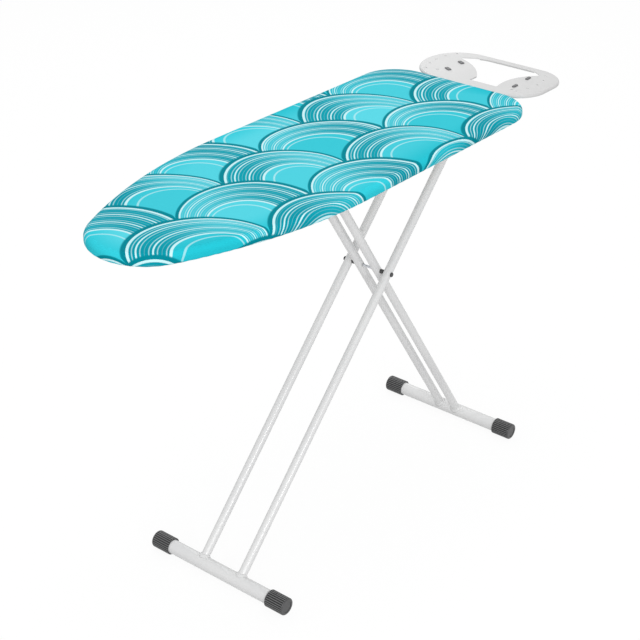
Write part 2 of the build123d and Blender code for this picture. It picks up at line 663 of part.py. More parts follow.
first, first_way = coil_point(0)
last, last_way = coil_point(QUARTERS)
bend_run = Vector(first_way.X, first_way.Y, 0).normalized() * SPRING_BEND_R * (1 - sin(coil_slope))
bend_rise = Vector(0, 0, SPRING_BEND_R * cos(coil_slope))
foot = first - bend_run - bend_rise
head = last + bend_run + bend_rise
foot_end = Vector(foot.X, foot.Y, RACK_TOP_Z)
head_end = Vector(head.X, head.Y, CHANNEL_ROOF_Z)
with BuildPart() as lever_spring:
    with BuildLine() as spring_line:
        Line(foot_end, foot)
        TangentArc(foot, first, tangent=(0, 0, 1))
        for quarter in range(QUARTERS):
            biarc(*coil_point(quarter), *coil_point(quarter + 1))
        TangentArc(last, head, tangent=last_way)
        Line(head, head_end)
    with BuildSketch(Plane(origin=foot_end, z_dir=(0, 0, 1))):
        Circle(SPRING_WIRE_R)
    sweep(path=spring_line.wires()[0])
save(lever_spring, "lever_spring")

HALF_TURN_SAMPLES = 8
sample_count = 2 * SPRING_TURNS * HALF_TURN_SAMPLES
coil_samples = [coil_point(QUARTERS * step / sample_count)[0] for step in range(sample_count + 1)]
coil_gap = min(
    (other - point).length - 2 * SPRING_WIRE_R
    for index, point in enumerate(coil_samples)
    for other in coil_samples[index + HALF_TURN_SAMPLES :]
)
print("spring: least gap between turns", round(coil_gap, 2), "mm")

# Iron rest: a pressed plate with a turned-down edge, lobed on both sides of its window
with BuildSketch() as rest_outline:
    with Locations(((REST_FRONT_X + REST_END_X) / 2, 0)):
        Rectangle(REST_END_X - REST_FRONT_X, REST_WIDTH)
    for corner, corner_r in (
        ((REST_FRONT_X, REST_WIDTH / 2), REST_LEFT_R),
        ((REST_FRONT_X, -REST_WIDTH / 2), REST_RIGHT_R),
        ((REST_END_X, REST_WIDTH / 2), REST_REAR_LEFT_R),
        ((REST_END_X, -REST_WIDTH / 2), REST_REAR_RIGHT_R),
    ):
        fillet(rest_outline.vertices().sort_by_distance(corner)[0], corner_r)

left_far, left_swell, left_turn, left_near = LEFT_LOBE
right_near, right_swell, right_far = RIGHT_LOBE
window_bend = (WINDOW_REAR_X, WINDOW_BEND_Y)
window_right = (WINDOW_REAR_X, WINDOW_RIGHT_Y)
with BuildSketch() as rest_window:
    with BuildLine():
        ThreePointArc(left_far, left_swell, left_turn)
        Line(left_turn, left_near)
        Line(left_near, right_near)
        ThreePointArc(right_near, right_swell, right_far)
        Line(right_far, window_right)
        Line(window_right, window_bend)
        TangentArc(window_bend, left_far, tangent=(0, 1))
    make_face()
    fillet(rest_window.vertices().sort_by_distance(left_turn)[0], LOBE_TURN_R)
    for corner in (left_far, left_near, right_near, right_far, window_right):
        fillet(rest_window.vertices().sort_by_distance(corner)[0], WINDOW_CORNER_R)

with BuildSketch() as window_edge:
    add(rest_window.sketch)
    offset(amount=REST_WALL, mode=Mode.REPLACE)

rest_under_z = REST_TOP_Z - REST_WALL
with BuildPart() as rest_hollow:
    with BuildSketch(Plane.XY.offset(REST_TOP_Z - REST_DEPTH)):
        add(rest_outline.sketch)
        offset(amount=-REST_WALL, mode=Mode.REPLACE)
    extrude(amount=REST_DEPTH - REST_WALL)
    fillet(rest_hollow.faces().sort_by(Axis.Z)[-1].edges(), REST_EDGE_R - REST_WALL)

with BuildPart() as iron_rest_plate:
    with BuildSketch(Plane.XY.offset(REST_TOP_Z - REST_DEPTH)):
        add(rest_outline.sketch)
    extrude(amount=REST_DEPTH)
    fillet(iron_rest_plate.faces().sort_by(Axis.Z)[-1].edges(), REST_EDGE_R)
    add(rest_hollow.part, mode=Mode.SUBTRACT)
    with BuildSketch(Plane.XY.offset(REST_TOP_Z - REST_LIP_DEPTH)):
        with Locations((REST_END_X, (REST_LIP_LEFT_Y + REST_LIP_RIGHT_Y) / 2)):
            Rectangle(2 * (REST_END_X - left_far[0]), REST_LIP_LEFT_Y - REST_LIP_RIGHT_Y)
        with Locations(left_turn):
            Rectangle(2 * LOBE_LIP_LENGTH, 2 * LOBE_TURN_R)
        add(window_edge.sketch, mode=Mode.INTERSECT)
    extrude(amount=REST_LIP_DEPTH)
    with BuildSketch(Plane.XY.offset(REST_TOP_Z)):
        add(rest_window.sketch)
        vent_fan = (VENT_COUNT - 1) * VENT_STEP
        with Locations((VENT_ARC_X, LEFT_VENT_ARC_Y)):
            with PolarLocations(VENT_ARC_R, VENT_COUNT, 90 - vent_fan / 2, vent_fan, endpoint=True):
                Circle(VENT_R)
        with Locations((VENT_ARC_X, RIGHT_VENT_ARC_Y)):
            with PolarLocations(VENT_ARC_R, VENT_COUNT, -90 - vent_fan / 2, vent_fan, endpoint=True):
                Circle(VENT_R)
        with Locations(*INNER_VENTS):
            Circle(VENT_R)
    extrude(amount=-REST_DEPTH, mode=Mode.SUBTRACT)
save(iron_rest_plate, "iron_rest_plate")

for place, (pad_x, pad_y, pad_turn, pad_width) in REST_PADS.items():
    with BuildPart() as rest_pad:
        with BuildSketch(Plane.XY.offset(REST_TOP_Z)):
            with Locations(Location((pad_x, pad_y, 0), (0, 0, pad_turn))):
                RectangleRounded(REST_PAD_LENGTH, pad_width, REST_PAD_CORNER_R)
        extrude(amount=REST_PAD_T)
        fillet(rest_pad.faces().sort_by(Axis.Z)[-1].edges(), REST_PAD_EDGE_R)
    save(rest_pad, f"rest_pad_{place}")

# Iron rest tubes: welded under the rear cross member, dipping below the rim and the hem
tube_front_z = CROSS_BOTTOM_Z - REST_TUBE_R
tube_rear_z = rest_under_z - REST_TUBE_R
dip_front_x = BOARD_REAR_X - HEM_WIDTH - REST_TUBE_BEND_R
dip_rear_x = BOARD_REAR_X + REST_TUBE_BEND_R
for side, sign in SIDES:
    tube_y = sign * REST_TUBE_Y
    tube_points = (
        (REST_TUBE_FRONT_X, tube_y, tube_front_z),
        (dip_front_x - REST_TUBE_BEND_R, tube_y, tube_front_z),
        (dip_front_x, tube_y, REST_TUBE_LOW_Z),
        (dip_rear_x, tube_y, REST_TUBE_LOW_Z),
        (dip_rear_x + 2 * REST_TUBE_BEND_R, tube_y, tube_rear_z),
        (REST_TUBE_REAR_X, tube_y, tube_rear_z),
    )
    with BuildPart() as rest_tube:
        with BuildLine() as tube_line:
            FilletPolyline(*tube_points, radius=REST_TUBE_BEND_R)
        with BuildSketch(Plane(origin=tube_points[0], x_dir=(0, 1, 0), z_dir=(1, 0, 0))):
            Circle(REST_TUBE_R)
            Circle(REST_TUBE_R - REST_TUBE_WALL, mode=Mode.SUBTRACT)
        sweep(path=tube_line.wires()[0])
    save(rest_tube, f"iron_rest_tube_{side}")

print("outer lean", degrees(OUTER_LEAN), "inner lean", degrees(INNER_LEAN))
print("hinge x", HINGE_X, "rod x", SLIDE_X, "folded rod x", SLIDE_END_X, "rod rise", ROD_RISE)
print("mesh openings", len(opening_centres), "leg length", hypot(HINGE_X - FRONT_FOOT_X, HINGE_Z - FOOT_Z))
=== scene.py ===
import json
import math
from functools import partial

import bmesh
import bpy
from mathutils import Matrix, Vector, noise


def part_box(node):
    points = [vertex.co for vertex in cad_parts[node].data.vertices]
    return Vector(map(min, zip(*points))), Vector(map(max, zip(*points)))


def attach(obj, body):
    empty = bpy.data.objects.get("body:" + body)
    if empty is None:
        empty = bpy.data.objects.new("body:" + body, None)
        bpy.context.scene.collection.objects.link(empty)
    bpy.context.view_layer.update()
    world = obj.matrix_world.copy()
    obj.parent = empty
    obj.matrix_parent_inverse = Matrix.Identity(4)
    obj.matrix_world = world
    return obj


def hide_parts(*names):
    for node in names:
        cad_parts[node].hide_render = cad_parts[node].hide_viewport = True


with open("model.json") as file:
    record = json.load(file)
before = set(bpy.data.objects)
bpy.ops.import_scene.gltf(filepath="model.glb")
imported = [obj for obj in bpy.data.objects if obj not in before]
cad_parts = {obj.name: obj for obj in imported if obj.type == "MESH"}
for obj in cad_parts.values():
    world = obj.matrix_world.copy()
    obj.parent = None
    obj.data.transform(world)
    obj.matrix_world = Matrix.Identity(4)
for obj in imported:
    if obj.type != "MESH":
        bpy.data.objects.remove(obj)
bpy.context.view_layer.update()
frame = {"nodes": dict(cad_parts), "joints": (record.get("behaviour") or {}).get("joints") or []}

# Board frame: a rolled steel rim, three pressed cross members and a slotted guide channel under a sheet of
# expanded steel, with the hinge brackets and the iron rest's tubes welded on, all powder-coated white.
SIDES = ("left", "right")
COAT_LIGHT = (0.84, 0.84, 0.84, 1.0)
COAT_DARK = (0.80, 0.80, 0.805, 1.0)
COAT_ROUGHNESS = 0.20
COAT_GRAIN = 900.0
COAT_PEEL = 0.000005
CLOUD_SIZE = 7.0
TONE_EDGES = (0.3, 0.7)
ROUGHNESS_SPREAD = 0.1


def feed(tree, socket, value):
    """Link a socket to a result, or set its own value."""
    if isinstance(value, bpy.types.NodeSocket):
        tree.links.new(value, socket)
    else:
        socket.default_value = value


def calculate(tree, operation, *values):
    """Add a math node and give back its result."""
    node = tree.nodes.new("ShaderNodeMath")
    node.operation = operation
    for socket, value in zip(node.inputs, values):
        feed(tree, socket, value)
    return node.outputs[0]


def mix_colour(tree, share, first, second, blend="MIX"):
    """Add a colour mix and give back its result."""
    node = tree.nodes.new("ShaderNodeMix")
    node.data_type = "RGBA"
    node.blend_type = blend
    feed(tree, node.inputs["Factor"], share)
    colours = [socket for socket in node.inputs if socket.type == "RGBA"]
    feed(tree, colours[0], first)
    feed(tree, colours[1], second)
    return [socket for socket in node.outputs if socket.type == "RGBA"][0]


def ramp(tree, value, start, end):
    """A smooth step from 0 at start to 1 at end."""
    node = tree.nodes.new("ShaderNodeMapRange")
    node.interpolation_type = "SMOOTHSTEP"
    feed(tree, node.inputs["Value"], value)
    node.inputs["From Min"].default_value = start
    node.inputs["From Max"].default_value = end
    return node.outputs["Result"]


def cloud(tree, position, size, detail=2.0):
    """A soft noise, from 0 to 1, with about that many patches in a metre."""
    node = tree.nodes.new("ShaderNodeTexNoise")
    tree.links.new(position, node.inputs["Vector"])
    feed(tree, node.inputs["Scale"], size)
    node.inputs["Detail"].default_value = detail
    return node.outputs["Fac"]


def effect_group(name, inputs, outputs):
    """A new shader group, with its input results and output sockets by name."""
    group = bpy.data.node_groups.new(name, "ShaderNodeTree")
    for label, kind in inputs.items():
        group.interface.new_socket(label, in_out="INPUT", socket_type=kind)
    for label, kind in outputs.items():
        group.interface.new_socket(label, in_out="OUTPUT", socket_type=kind)
    return group, group.nodes.new("NodeGroupInput").outputs, group.nodes.new("NodeGroupOutput").inputs


def place_group(tree, group, **values):
    """Put a group into a material and give back its outputs."""
    node = tree.nodes.new("ShaderNodeGroup")
    node.node_tree = group
    for label, value in values.items():
        feed(tree, node.inputs[label], value)
    return node.outputs


# The skin of sprayed and moulded surfaces: a fine pebble for the bump and a broad cloud for the tone
surface_skin, skin_in, skin_out = effect_group(
    "surface_skin",
    {"Position": "NodeSocketVector", "Grain": "NodeSocketFloat", "Cloud": "NodeSocketFloat"},
    {"Pebble": "NodeSocketFloat", "Tone": "NodeSocketFloat"},
)
feed(surface_skin, skin_out["Pebble"], cloud(surface_skin, skin_in["Position"], skin_in["Grain"]))
feed(surface_skin, skin_out["Tone"], cloud(surface_skin, skin_in["Position"], skin_in["Cloud"], detail=4.0))


def new_material(name, roughness, metallic=0.0):
    """A material with one Principled shader, whose plain values stand on its own sockets."""
    material = bpy.data.materials.new(name)
    material.use_nodes = True
    shader = material.node_tree.nodes["Principled BSDF"]
    shader.inputs["Roughness"].default_value = roughness
    shader.inputs["Metallic"].default_value = metallic
    return material, material.node_tree, shader


def add_bump(tree, shader, height, depth):
    """Raise the surface by a height from 0 to 1 times a depth in metres."""
    bump = tree.nodes.new("ShaderNodeBump")
    bump.inputs["Distance"].default_value = depth
    tree.links.new(height, bump.inputs["Height"])
    tree.links.new(bump.outputs["Normal"], shader.inputs["Normal"])


def skin_material(name, light, dark, roughness, grain, depth, metallic=0.0):
    """A sprayed, moulded or plated finish: two near tones and a fine pebble."""
    material, tree, shader = new_material(name, roughness, metallic)
    position = tree.nodes.new("ShaderNodeTexCoord").outputs["Object"]
    skin = place_group(tree, surface_skin, Position=position, Grain=grain, Cloud=CLOUD_SIZE)
    tone = ramp(tree, skin["Tone"], *TONE_EDGES)
    tree.links.new(mix_colour(tree, tone, dark, light), shader.inputs["Base Color"])
    least = roughness - ROUGHNESS_SPREAD / 2
    rough = calculate(tree, "MULTIPLY_ADD", skin["Pebble"], ROUGHNESS_SPREAD, least)
    tree.links.new(rough, shader.inputs["Roughness"])
    add_bump(tree, shader, skin["Pebble"], depth)
    return material


def paint_nodes(material, *names):
    """Give CAD nodes their finish."""
    for name in names:
        for slot in frame["nodes"][name].material_slots:
            slot.material = material


def both(name):
    """The names of a left and right pair."""
    return [f"{name}_{side}" for side in SIDES]


powder_coat = skin_material("powder_coat", COAT_LIGHT, COAT_DARK, COAT_ROUGHNESS, COAT_GRAIN, COAT_PEEL)
paint_nodes(powder_coat, "rim_channel", "mesh_top", "guide_channel")
paint_nodes(powder_coat, *[f"cross_member_{place}" for place in ("front", "middle", "rear")])
paint_nodes(powder_coat, *both("hinge_bracket"), *both("iron_rest_tube"))

# Legs: straight 20 mm tubes, fish-mouthed onto the 32 mm foot bars and welded all round.
# The bead is ground and coated with the tubes, so it shows as a soft fillet between them.
BEAD_STEPS = 72
BEAD_ROWS = 7
BEAD_ROOT = BEAD_ROWS
BEAD_LEG = 0.0042
BEAD_SWELL = 0.0009
BEAD_RIPPLES = 26
BEAD_RIPPLE = 0.00012
MERGE_DISTANCE = 0.00001


def draw_rings(mesh, steps, rows, place):
    """Extrude a ring of edges row by row; place(row, share) puts a vertex at a share of the way round."""
    step = mesh.verts.layers.int.new("step")
    ring = bmesh.ops.create_circle(mesh, segments=steps, radius=1.0)["verts"]
    for number, vertex in enumerate(ring):
        vertex[step] = number
    edges = mesh.edges[:]
    for number, row in enumerate(rows):
        if number:
            made = bmesh.ops.extrude_edge_only(mesh, edges=edges)["geom"]
            ring = [item for item in made if isinstance(item, bmesh.types.BMVert)]
            drawn = [item for item in made if isinstance(item, bmesh.types.BMEdge)]
            fresh = set(ring)
            edges = [edge for edge in drawn if fresh.issuperset(edge.verts)]
        for vertex in ring:
            vertex.co = place(row, vertex[step] / steps)


def new_piece(name, mesh, body, slot, *materials):
    """Write a finished mesh to a smooth-shaded piece that rides on a body."""
    data = bpy.data.meshes.new(name)
    mesh.to_mesh(data)
    mesh.free()
    data.shade_smooth()
    for material in materials:
        data.materials.append(material)
    piece = bpy.data.objects.new(name, data)
    bpy.context.scene.collection.objects.link(piece)
    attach(piece, body)
    return piece


def middle_of(node):
    """The middle of a CAD node's box."""
    low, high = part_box(node)
    return (low + high) / 2


def bead_place(foot, leg_way, bar_r, leg_r):
    """The place function of a weld bead round a leg on its foot bar; its root is the corner of the two."""
    across = Vector((0, 1, 0))
    over = leg_way.cross(across)

    def place(row, share):
        angle = 2 * math.pi * share
        out = across * math.cos(angle) + over * math.sin(angle)
        turn = row / (BEAD_ROWS - 1)
        swell = BEAD_SWELL * math.sin(math.pi * turn)
        swell += BEAD_RIPPLE * math.sin(BEAD_RIPPLES * angle) * math.sin(math.pi * turn)
        aside = leg_r + BEAD_LEG * turn * turn + swell
        lift = BEAD_LEG * (1 - turn) ** 2 + swell
        if row == BEAD_ROOT:
            aside, lift = leg_r, 0.0
        spread = min(bar_r, aside * abs(math.sin(angle)))
        saddle = math.sqrt(bar_r**2 - spread**2)
        return foot + out * aside + leg_way * (saddle + lift)

    return place


joints = {joint["name"]: joint for joint in frame["joints"]}
pivot = Vector(joints["leg_cross"]["pos_m"])
for pair, foot_bar in (("outer", "front_foot_bar"), ("inner", "rear_foot_bar")):
    bar_low, bar_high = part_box(foot_bar)
    bar_middle = middle_of(foot_bar)
    leg_way = Vector((pivot.x - bar_middle.x, 0, pivot.z - bar_middle.z)).normalized()
    for side in SIDES:
        leg_low, leg_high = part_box(f"{pair}_leg_{side}")
        foot = Vector((bar_middle.x, (leg_low.y + leg_high.y) / 2, bar_middle.z))
        bead = bmesh.new()
        place = bead_place(foot, leg_way, (bar_high.z - bar_low.z) / 2, (leg_high.y - leg_low.y) / 2)
        draw_rings(bead, BEAD_STEPS, [*range(BEAD_ROWS), BEAD_ROOT, 0], place)
        bmesh.ops.remove_doubles(bead, verts=bead.verts, dist=MERGE_DISTANCE)
        bmesh.ops.recalc_face_normals(bead, faces=bead.faces)
        new_piece(f"{pair}_weld_{side}", bead, f"{pair}_legs", "white_powder_coat", powder_coat)
    paint_nodes(powder_coat, foot_bar, *both(f"{pair}_leg"))

# Foot caps, tube plugs and the pivot's beads: polypropylene moulded in dark grey with a fine spark texture,
# pushed over or into the tube ends. Foot caps: painted shade in the grooves, a painted highlight on the ribs.
PLASTIC_LIGHT = (0.066, 0.066, 0.068, 1.0)
PLASTIC_DARK = (0.046, 0.046, 0.048, 1.0)
# Painted highlight for the foot caps' ribs and painted shade for their grooves, with where on each flute they
# start
RIB_HIGHLIGHT = (0.170, 0.171, 0.173, 1.0)
GROOVE_SHADE = (0.012, 0.012, 0.013, 1.0)
CAP_FLUTES = 26
CAP_END = 0.002
GROOVE_SHADE_EDGES = (-0.35, 0.35)
RIB_HIGHLIGHT_EDGES = (-0.4, -0.9)

cap_plastic = skin_material(
    "cap_plastic", PLASTIC_LIGHT, PLASTIC_DARK, roughness=0.42, grain=2600.0, depth=0.00003
)
paint_nodes(cap_plastic, *both("outer_plug"), *both("inner_plug"), "lever_grip")
paint_nodes(cap_plastic, *both("pivot_cap"), *both("pivot_spacer"), *both("slide_cap"))

for foot in ("front", "rear"):
    ribbed, tree, shader = new_material(f"{foot}_cap_plastic", roughness=0.36)
    position = tree.nodes.new("ShaderNodeTexCoord").outputs["Object"]
    split = tree.nodes.new("ShaderNodeSeparateXYZ")
    feed(tree, split.inputs["Vector"], position)
    axis = middle_of(f"{foot}_foot_bar")
    along = calculate(tree, "SUBTRACT", split.outputs["X"], axis.x)
    above = calculate(tree, "SUBTRACT", split.outputs["Z"], axis.z)
    turn = calculate(tree, "MULTIPLY", calculate(tree, "ARCTAN2", above, along), CAP_FLUTES)
    flute = calculate(tree, "COSINE", turn)
    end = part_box(f"{foot}_cap_left")[1].y - CAP_END
    wall = calculate(tree, "LESS_THAN", calculate(tree, "ABSOLUTE", split.outputs["Y"]), end)
    # Painted shade in the grooves and a painted highlight on the ribs, on the cap's round wall only
    groove_shade = calculate(tree, "MULTIPLY", ramp(tree, flute, *GROOVE_SHADE_EDGES), wall)
    rib_highlight = calculate(tree, "MULTIPLY", ramp(tree, flute, *RIB_HIGHLIGHT_EDGES), wall)
    colour = mix_colour(tree, groove_shade, PLASTIC_LIGHT, GROOVE_SHADE)
    feed(tree, shader.inputs["Base Color"], mix_colour(tree, rib_highlight, colour, RIB_HIGHLIGHT))
    paint_nodes(ribbed, *both(f"{foot}_cap"))

# Pins, axle, sliding rod, rack and lever: cold-drawn steel, bright zinc-plated, running in nylon bushes.
# The spring is bare oiled wire.
ZINC_LIGHT = (0.66, 0.67, 0.69, 1.0)
ZINC_DARK = (0.52, 0.54, 0.58, 1.0)
WIRE_LIGHT = (0.42, 0.43, 0.45, 1.0)
WIRE_DARK = (0.30, 0.31, 0.33, 1.0)
NYLON_LIGHT = (0.64, 0.64, 0.63, 1.0)
NYLON_DARK = (0.58, 0.58, 0.57, 1.0)
zinc_plate = skin_material(
    "zinc_plate", ZINC_LIGHT, ZINC_DARK, roughness=0.30, grain=1400.0, depth=0.00001, metallic=1.0
)
spring_wire = skin_material(
    "spring_wire", WIRE_LIGHT, WIRE_DARK, roughness=0.35, grain=3000.0, depth=0.00001, metallic=1.0
)
nylon = skin_material("nylon", NYLON_LIGHT, NYLON_DARK, roughness=0.42, grain=2200.0, depth=0.00001)
paint_nodes(zinc_plate, *both("hinge_pin"), "pivot_axle", "slide_rod")
paint_nodes(zinc_plate, "rack_pin", "rack_bar", "release_lever")
paint_nodes(spring_wire, "lever_spring")
paint_nodes(nylon, *both("hinge_bush"), *both("pivot_bush"), *both("slide_washer"))

# Foam pad: a sheet of open-cell foam cut to the board's outline, lying on the mesh under the cover.
# Its cut edge is rounded over by the pull of the cover.
NOSE_R = 0.121
TAPER_X = -0.159
REAR_CORNER_R = 0.095
COVER_EDGE_R = 0.013
EDGE_STEPS = 720
FOAM_LIGHT = (0.78, 0.76, 0.70, 1.0)
FOAM_DARK = (0.66, 0.63, 0.56, 1.0)
FOAM_GAP = 0.0022
FOAM_EDGE_STEPS = 6
FOAM_RINGS = 6

cover_low, cover_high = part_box("cover")
half_width = cover_high.y
nose_x = cover_low.x + NOSE_R
taper_run = TAPER_X - nose_x
side_r = (taper_run**2 + half_width**2 - NOSE_R**2) / (2 * (half_width - NOSE_R))
shoulder = math.atan2(side_r - half_width, -taper_run)
corner = Vector((cover_high.x - REAR_CORNER_R, half_width - REAR_CORNER_R))
straight = corner.x - TAPER_X
bend_lengths = (REAR_CORNER_R * math.pi / 2, side_r * (shoulder - math.pi / 2), NOSE_R * (math.pi - shoulder))
half_length = corner.y + straight + sum(bend_lengths)


def on_arc(centre, radius, turn):
    """A point on an arc and its outward direction."""
    out = Vector((math.cos(turn), math.sin(turn)))
    return centre + out * radius, out


def left_edge(distance):
    """A point on the board's left edge, that far from the middle of the rear, and its outward direction."""
    if distance < corner.y:
        return Vector((cover_high.x, distance)), Vector((1, 0))
    distance -= corner.y
    if distance < bend_lengths[0]:
        return on_arc(corner, REAR_CORNER_R, distance / REAR_CORNER_R)
    distance -= bend_lengths[0]
    if distance < straight:
        return Vector((corner.x - distance, half_width)), Vector((0, 1))
    distance -= straight
    if distance < bend_lengths[1]:
        return on_arc(Vector((TAPER_X, half_width - side_r)), side_r, math.pi / 2 + distance / side_r)
    distance -= bend_lengths[1]
    return on_arc(Vector((nose_x, 0)), NOSE_R, shoulder + distance / NOSE_R)


def board_edge(share):
    """A point on the board's whole edge, at a share of the way round, and its outward direction."""
    distance = 2 * half_length * share
    if distance <= half_length:
        return left_edge(distance)
    point, out = left_edge(2 * half_length - distance)
    return Vector((point.x, -point.y)), Vector((out.x, -out.y))


def spine(point):
    """The place on the board's centre line that the rings of a flat face close in on."""
    return Vector((min(max(point.x, nose_x), corner.x), 0))


def arc_rows(steps):
    """Shares from 0 to 1 that step round a quarter turn."""
    return [step / steps for step in range(steps + 1)]


def ring_rows(count):
    """Shares that close in from just inside an edge to the spine."""
    return [(ring + 1) / count for ring in range(count)]


foam_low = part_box("foam_pad")[0]
foam_r = COVER_EDGE_R - FOAM_GAP
foam_heel = math.asin((foam_low.z - cover_high.z + COVER_EDGE_R) / foam_r)
foam_edge = [
    (COVER_EDGE_R - foam_r * math.cos(turn), cover_high.z - COVER_EDGE_R + foam_r * math.sin(turn), 0.0)
    for turn in [foam_heel + (math.pi / 2 - foam_heel) * share for share in arc_rows(FOAM_EDGE_STEPS)]
]
foam_rows = [(foam_edge[0][0], foam_low.z, share) for share in ring_rows(FOAM_RINGS)[::-1]]
foam_rows += foam_edge
foam_rows += [(COVER_EDGE_R, cover_high.z - FOAM_GAP, share) for share in ring_rows(FOAM_RINGS)]


def foam_place(row, share):
    """A vertex of the foam pad."""
    inset, z, pull = row
    point, out = board_edge(share)
    flat = (point - out * inset).lerp(spine(point), pull)
    return Vector((flat.x, flat.y, z))


foam_mesh = bmesh.new()
draw_rings(foam_mesh, EDGE_STEPS // 2, foam_rows, foam_place)
bmesh.ops.remove_doubles(foam_mesh, verts=foam_mesh.verts, dist=MERGE_DISTANCE)
bmesh.ops.recalc_face_normals(foam_mesh, faces=foam_mesh.faces)
foam_skin = skin_material("foam_skin", FOAM_LIGHT, FOAM_DARK, roughness=0.95, grain=700.0, depth=0.0004)
foam_pad = new_piece("pad_foam", foam_mesh, "board", "pad_foam", foam_skin)
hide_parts("foam_pad")

# Cover: one cut of printed cotton, drawn tight over the pad and the rim, with its hem turned in below and
# gathered by the pull of its edge.
COVER_HEM_R = 0.006
HEM_WIDTH = 0.028
HEM_STEPS = 8
SKIRT_STEPS = 5
ROUND_STEPS = 8
TOP_RINGS = 16
TOP_CROWDING = 1.6
CLOTH_T = 0.0007
CLOTH_ROLL = 0.0005
ROLL_REACH = 0.030
GATHER_COUNT = 120
GATHER_DEPTH = 0.0032
GATHER_DRIFT = 2.4
DRIFT_SIZE = 14
PUCKER_DEPTH = 0.0009
PUCKER_LEAST = 0.35
TOP_WAVE = 0.0005
WAVE_SIZE = 11

skirt_top = cover_high.z - COVER_EDGE_R
skirt_low = cover_low.z + COVER_HEM_R
skirt_start = COVER_EDGE_R * (math.pi / 2 - 1)
hem_start = skirt_start + skirt_top - skirt_low
hem_flat = hem_start + COVER_HEM_R * math.pi / 2
hem_run = HEM_WIDTH - COVER_HEM_R

# A row of the cover: inset from the edge, height, printed reach past the edge, and pull to the spine
cover_rows = [
    (COVER_HEM_R + hem_run * (1 - share), cover_low.z, hem_flat + hem_run * (1 - share), 0.0)
    for share in [step / HEM_STEPS for step in range(HEM_STEPS)]
]
for share in arc_rows(ROUND_STEPS):
    angle = share * math.pi / 2
    inset = COVER_HEM_R * (1 - math.sin(angle))
    height = skirt_low - COVER_HEM_R * math.cos(angle)
    cover_rows.append((inset, height, hem_start + COVER_HEM_R * (math.pi / 2 - angle), 0.0))
for step in range(1, SKIRT_STEPS):
    rise = (skirt_top - skirt_low) * step / SKIRT_STEPS
    cover_rows.append((0.0, skirt_low + rise, hem_start - rise, 0.0))
for share in arc_rows(ROUND_STEPS):
    angle = share * math.pi / 2
    inset = COVER_EDGE_R * (1 - math.cos(angle))
    height = skirt_top + COVER_EDGE_R * math.sin(angle)
    cover_rows.append((inset, height, skirt_start - COVER_EDGE_R * angle, 0.0))
for share in ring_rows(TOP_RINGS):
    cover_rows.append((COVER_EDGE_R, cover_high.z, -COVER_EDGE_R, share**TOP_CROWDING))


def smooth(value):
    """A smooth step from 0 to 1."""
    value = min(max(value, 0.0), 1.0)
    return value * value * (3 - 2 * value)


def print_place(row, share):
    """Where a vertex of the cover lies on the flat cut, before it is drawn over the edge."""
    reach, pull = row[2:]
    point, out = board_edge(share)
    return (point + out * reach).lerp(spine(point), pull)


def cover_place(row, share):
    """A vertex of the cover: taut on top, with small puckers on the bends and gathers along the hem."""
    inset, z, reach, pull = row
    point, out = board_edge(share)
    drift = noise.noise(Vector((point.x, point.y, 0)) * DRIFT_SIZE)
    wave = 0.5 + 0.5 * math.sin(2 * math.pi * GATHER_COUNT * share + GATHER_DRIFT * drift)
    slack = PUCKER_LEAST + (1 - PUCKER_LEAST) * abs(drift)
    pucker = PUCKER_DEPTH * wave * slack * smooth((reach - skirt_start) / (hem_flat - skirt_start))
    flat = (point - out * (inset + pucker)).lerp(spine(point), pull)
    lift = GATHER_DEPTH * wave * smooth((reach - hem_start) / (hem_flat + hem_run - hem_start))
    on_top = smooth((z - skirt_top) / COVER_EDGE_R)
    inside = smooth((flat - point).length / ROLL_REACH)
    hollow = 0.5 + 0.5 * noise.noise(Vector((flat.x, flat.y, 0)) * WAVE_SIZE)
    sink = on_top * (CLOTH_ROLL * (1 - inside) + TOP_WAVE * hollow * inside)
    return Vector((flat.x, flat.y, z + lift - sink))


cover_mesh = bmesh.new()
draw_rings(cover_mesh, EDGE_STEPS, cover_rows, cover_place)
cover_mesh.verts.index_update()
step_layer = cover_mesh.verts.layers.int["step"]
inward_layer = cover_mesh.verts.layers.float.new("inward")
print_layer = cover_mesh.loops.layers.uv.new("print")
for vertex in cover_mesh.verts:
    share = vertex[step_layer] / EDGE_STEPS
    printed = print_place(cover_rows[vertex.index // EDGE_STEPS], share)
    point, out = board_edge(share)
    vertex[inward_layer] = max(0.0, (point - printed).dot(out))
    for loop in vertex.link_loops:
        loop[print_layer].uv = printed
bmesh.ops.remove_doubles(cover_mesh, verts=cover_mesh.verts, dist=MERGE_DISTANCE)
bmesh.ops.recalc_face_normals(cover_mesh, faces=cover_mesh.faces)

# The print: rows of large overlapping scales, each with a crescent of fine pale lines on blue-green that
# thickens to one side, round a plain turquoise heart
TURQUOISE = (0.112, 0.720, 0.830, 1.0)
DEEP_TURQUOISE = (0.046, 0.610, 0.715, 1.0)
BAND_PALE = (0.070, 0.605, 0.710, 1.0)
BAND_DEEP = (0.003, 0.365, 0.455, 1.0)
DARK_TEAL = (0.001, 0.250, 0.315, 1.0)
PALE = (0.620, 0.930, 0.970, 1.0)
